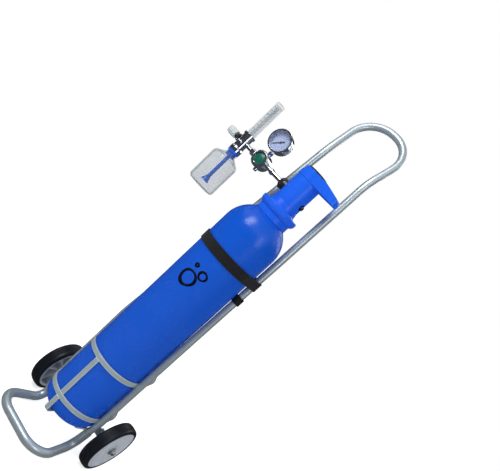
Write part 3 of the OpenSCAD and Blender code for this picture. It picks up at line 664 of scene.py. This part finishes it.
def floor_plane():
    """A pale floor that blends into the white behind it and stays out of reflections."""
    mesh = bpy.data.meshes.new("floor")
    size = 9.0
    mesh.from_pydata([(-size, -size, 0), (size, -size, 0), (size, size, 0), (-size, size, 0)],
                     [], [(0, 1, 2, 3)])
    floor = bpy.data.objects.new("floor", mesh)
    bpy.context.scene.collection.objects.link(floor)
    material, tree, shader = graph("pale_floor")
    tone = span(tree, noise(tree, 1.5, 3), 0.3, 0.7)
    tree.links.new(mix(tree, tone, (0.90, 0.90, 0.90), (0.87, 0.87, 0.87)),
                   shader.inputs["Base Color"])
    shader.inputs["Roughness"].default_value = 0.7
    shader.inputs["Specular IOR Level"].default_value = 0.1
    shader.inputs["Emission Color"].default_value = (1.0, 1.0, 1.0, 1)
    seen = tree.nodes.new("ShaderNodeLightPath")
    glow = tree.nodes.new("ShaderNodeMapRange")
    glow.inputs["To Min"].default_value = 0.25
    glow.inputs["To Max"].default_value = 0.72
    tree.links.new(seen.outputs["Is Camera Ray"], glow.inputs["Value"])
    tree.links.new(glow.outputs[0], shader.inputs["Emission Strength"])
    floor.data.materials.append(material)
    floor.visible_glossy = False


def studio():
    """A white ground for the camera, and a bright band over dark for light and reflections."""
    world = bpy.data.worlds.new("studio")
    world.use_nodes = True
    tree = world.node_tree
    where = tree.nodes.new("ShaderNodeTexCoord")
    split = tree.nodes.new("ShaderNodeSeparateXYZ")
    tree.links.new(where.outputs["Generated"], split.inputs[0])
    low = span(tree, split.outputs["Z"], 0.40, 0.56)
    high = span(tree, split.outputs["Z"], 0.62, 0.95)
    band = mix(tree, low, (0.07, 0.075, 0.08), (1.0, 1.0, 1.0))
    tree.links.new(mix(tree, high, band, (0.34, 0.36, 0.40)), tree.nodes["Background"].inputs[0])
    tree.nodes["Background"].inputs[1].default_value = 0.88
    plain = tree.nodes.new("ShaderNodeBackground")
    plain.inputs[0].default_value = (1, 1, 1, 1)
    ray = tree.nodes.new("ShaderNodeLightPath")
    choose = tree.nodes.new("ShaderNodeMixShader")
    tree.links.new(ray.outputs["Is Camera Ray"], choose.inputs[0])
    tree.links.new(tree.nodes["Background"].outputs[0], choose.inputs[1])
    tree.links.new(plain.outputs[0], choose.inputs[2])
    tree.links.new(choose.outputs[0], tree.nodes["World Output"].inputs[0])
    bpy.context.scene.world = world
    bpy.context.scene.view_settings.view_transform = "Standard"


def flag(name, azimuth, distance, width):
    """A tall dark card that only reflections see, for the dark bands on bright metal."""
    a = math.radians(azimuth)
    mid = Vector((math.sin(a), -math.cos(a), 0)) * distance
    side = Vector((math.cos(a), math.sin(a), 0)) * width / 2
    up = Vector((0, 0, 3))
    verts = [mid - side, mid + side, mid + side + up, mid - side + up]
    mesh = bpy.data.meshes.new(name)
    mesh.from_pydata(verts, [], [(0, 1, 2, 3)])
    card = bpy.data.objects.new(name, mesh)
    bpy.context.scene.collection.objects.link(card)
    card.visible_camera = False
    card.visible_diffuse = False
    card.visible_shadow = False
    card.visible_transmission = False
    material, tree, shader = graph(name)
    tone = span(tree, noise(tree, 2.0, 2), 0.3, 0.7)
    tree.links.new(mix(tree, tone, (0.02, 0.022, 0.026), (0.035, 0.036, 0.04)),
                   shader.inputs["Base Color"])
    card.data.materials.append(material)


def area_light(name, where, aim, size, power, colour=(1, 1, 1)):
    """A rectangular softbox that faces a point."""
    data = bpy.data.lights.new(name, "AREA")
    data.shape = "RECTANGLE"
    data.size, data.size_y = size
    data.energy = power
    data.color = colour
    light = bpy.data.objects.new(name, data)
    bpy.context.scene.collection.objects.link(light)
    light.location = where
    light.rotation_euler = (Vector(aim) - Vector(where)).to_track_quat("-Z", "Y").to_euler()


def camera():
    """The camera, rolled because the cart is seen tipped back by its handle."""
    az, el, roll = math.radians(22.63), math.radians(10.42), math.radians(47.52)
    back = Vector((math.sin(az) * math.cos(el), -math.cos(az) * math.cos(el), math.sin(el)))
    right = Vector((math.cos(az), math.sin(az), 0))
    up = back.cross(right)
    image_x = math.cos(roll) * right + math.sin(roll) * up
    image_y = -math.sin(roll) * right + math.cos(roll) * up
    data = bpy.data.cameras.new("camera")
    data.sensor_width = 36
    data.lens = 41.0
    data.shift_x = 0.0799
    data.shift_y = 0.119
    data.clip_end = 50
    cam = bpy.data.objects.new("camera", data)
    bpy.context.scene.collection.objects.link(cam)
    turn = Matrix((image_x, image_y, back)).transposed().to_4x4()
    cam.matrix_world = Matrix.Translation(at(529, -1179, 755)) @ turn
    bpy.context.scene.camera = cam


floor_plane()
studio()
for number, (azimuth, width) in enumerate(((202, 2.6), (100, 0.8), (-52, 0.8), (-100, 0.5))):
    flag("flag_%d" % number, azimuth, 2.2, width)
area_light("key", (-0.6, -1.2, 1.9), (0, 0, 0.8), (0.7, 0.9), 21)
area_light("fill", (1.7, -1.0, 1.3), (0, 0, 0.6), (0.6, 1.2), 8, (0.95, 0.97, 1.0))
area_light("rim", (0.6, 1.8, 1.6), (0, 0, 0.6), (1.2, 1.0), 8)
camera()
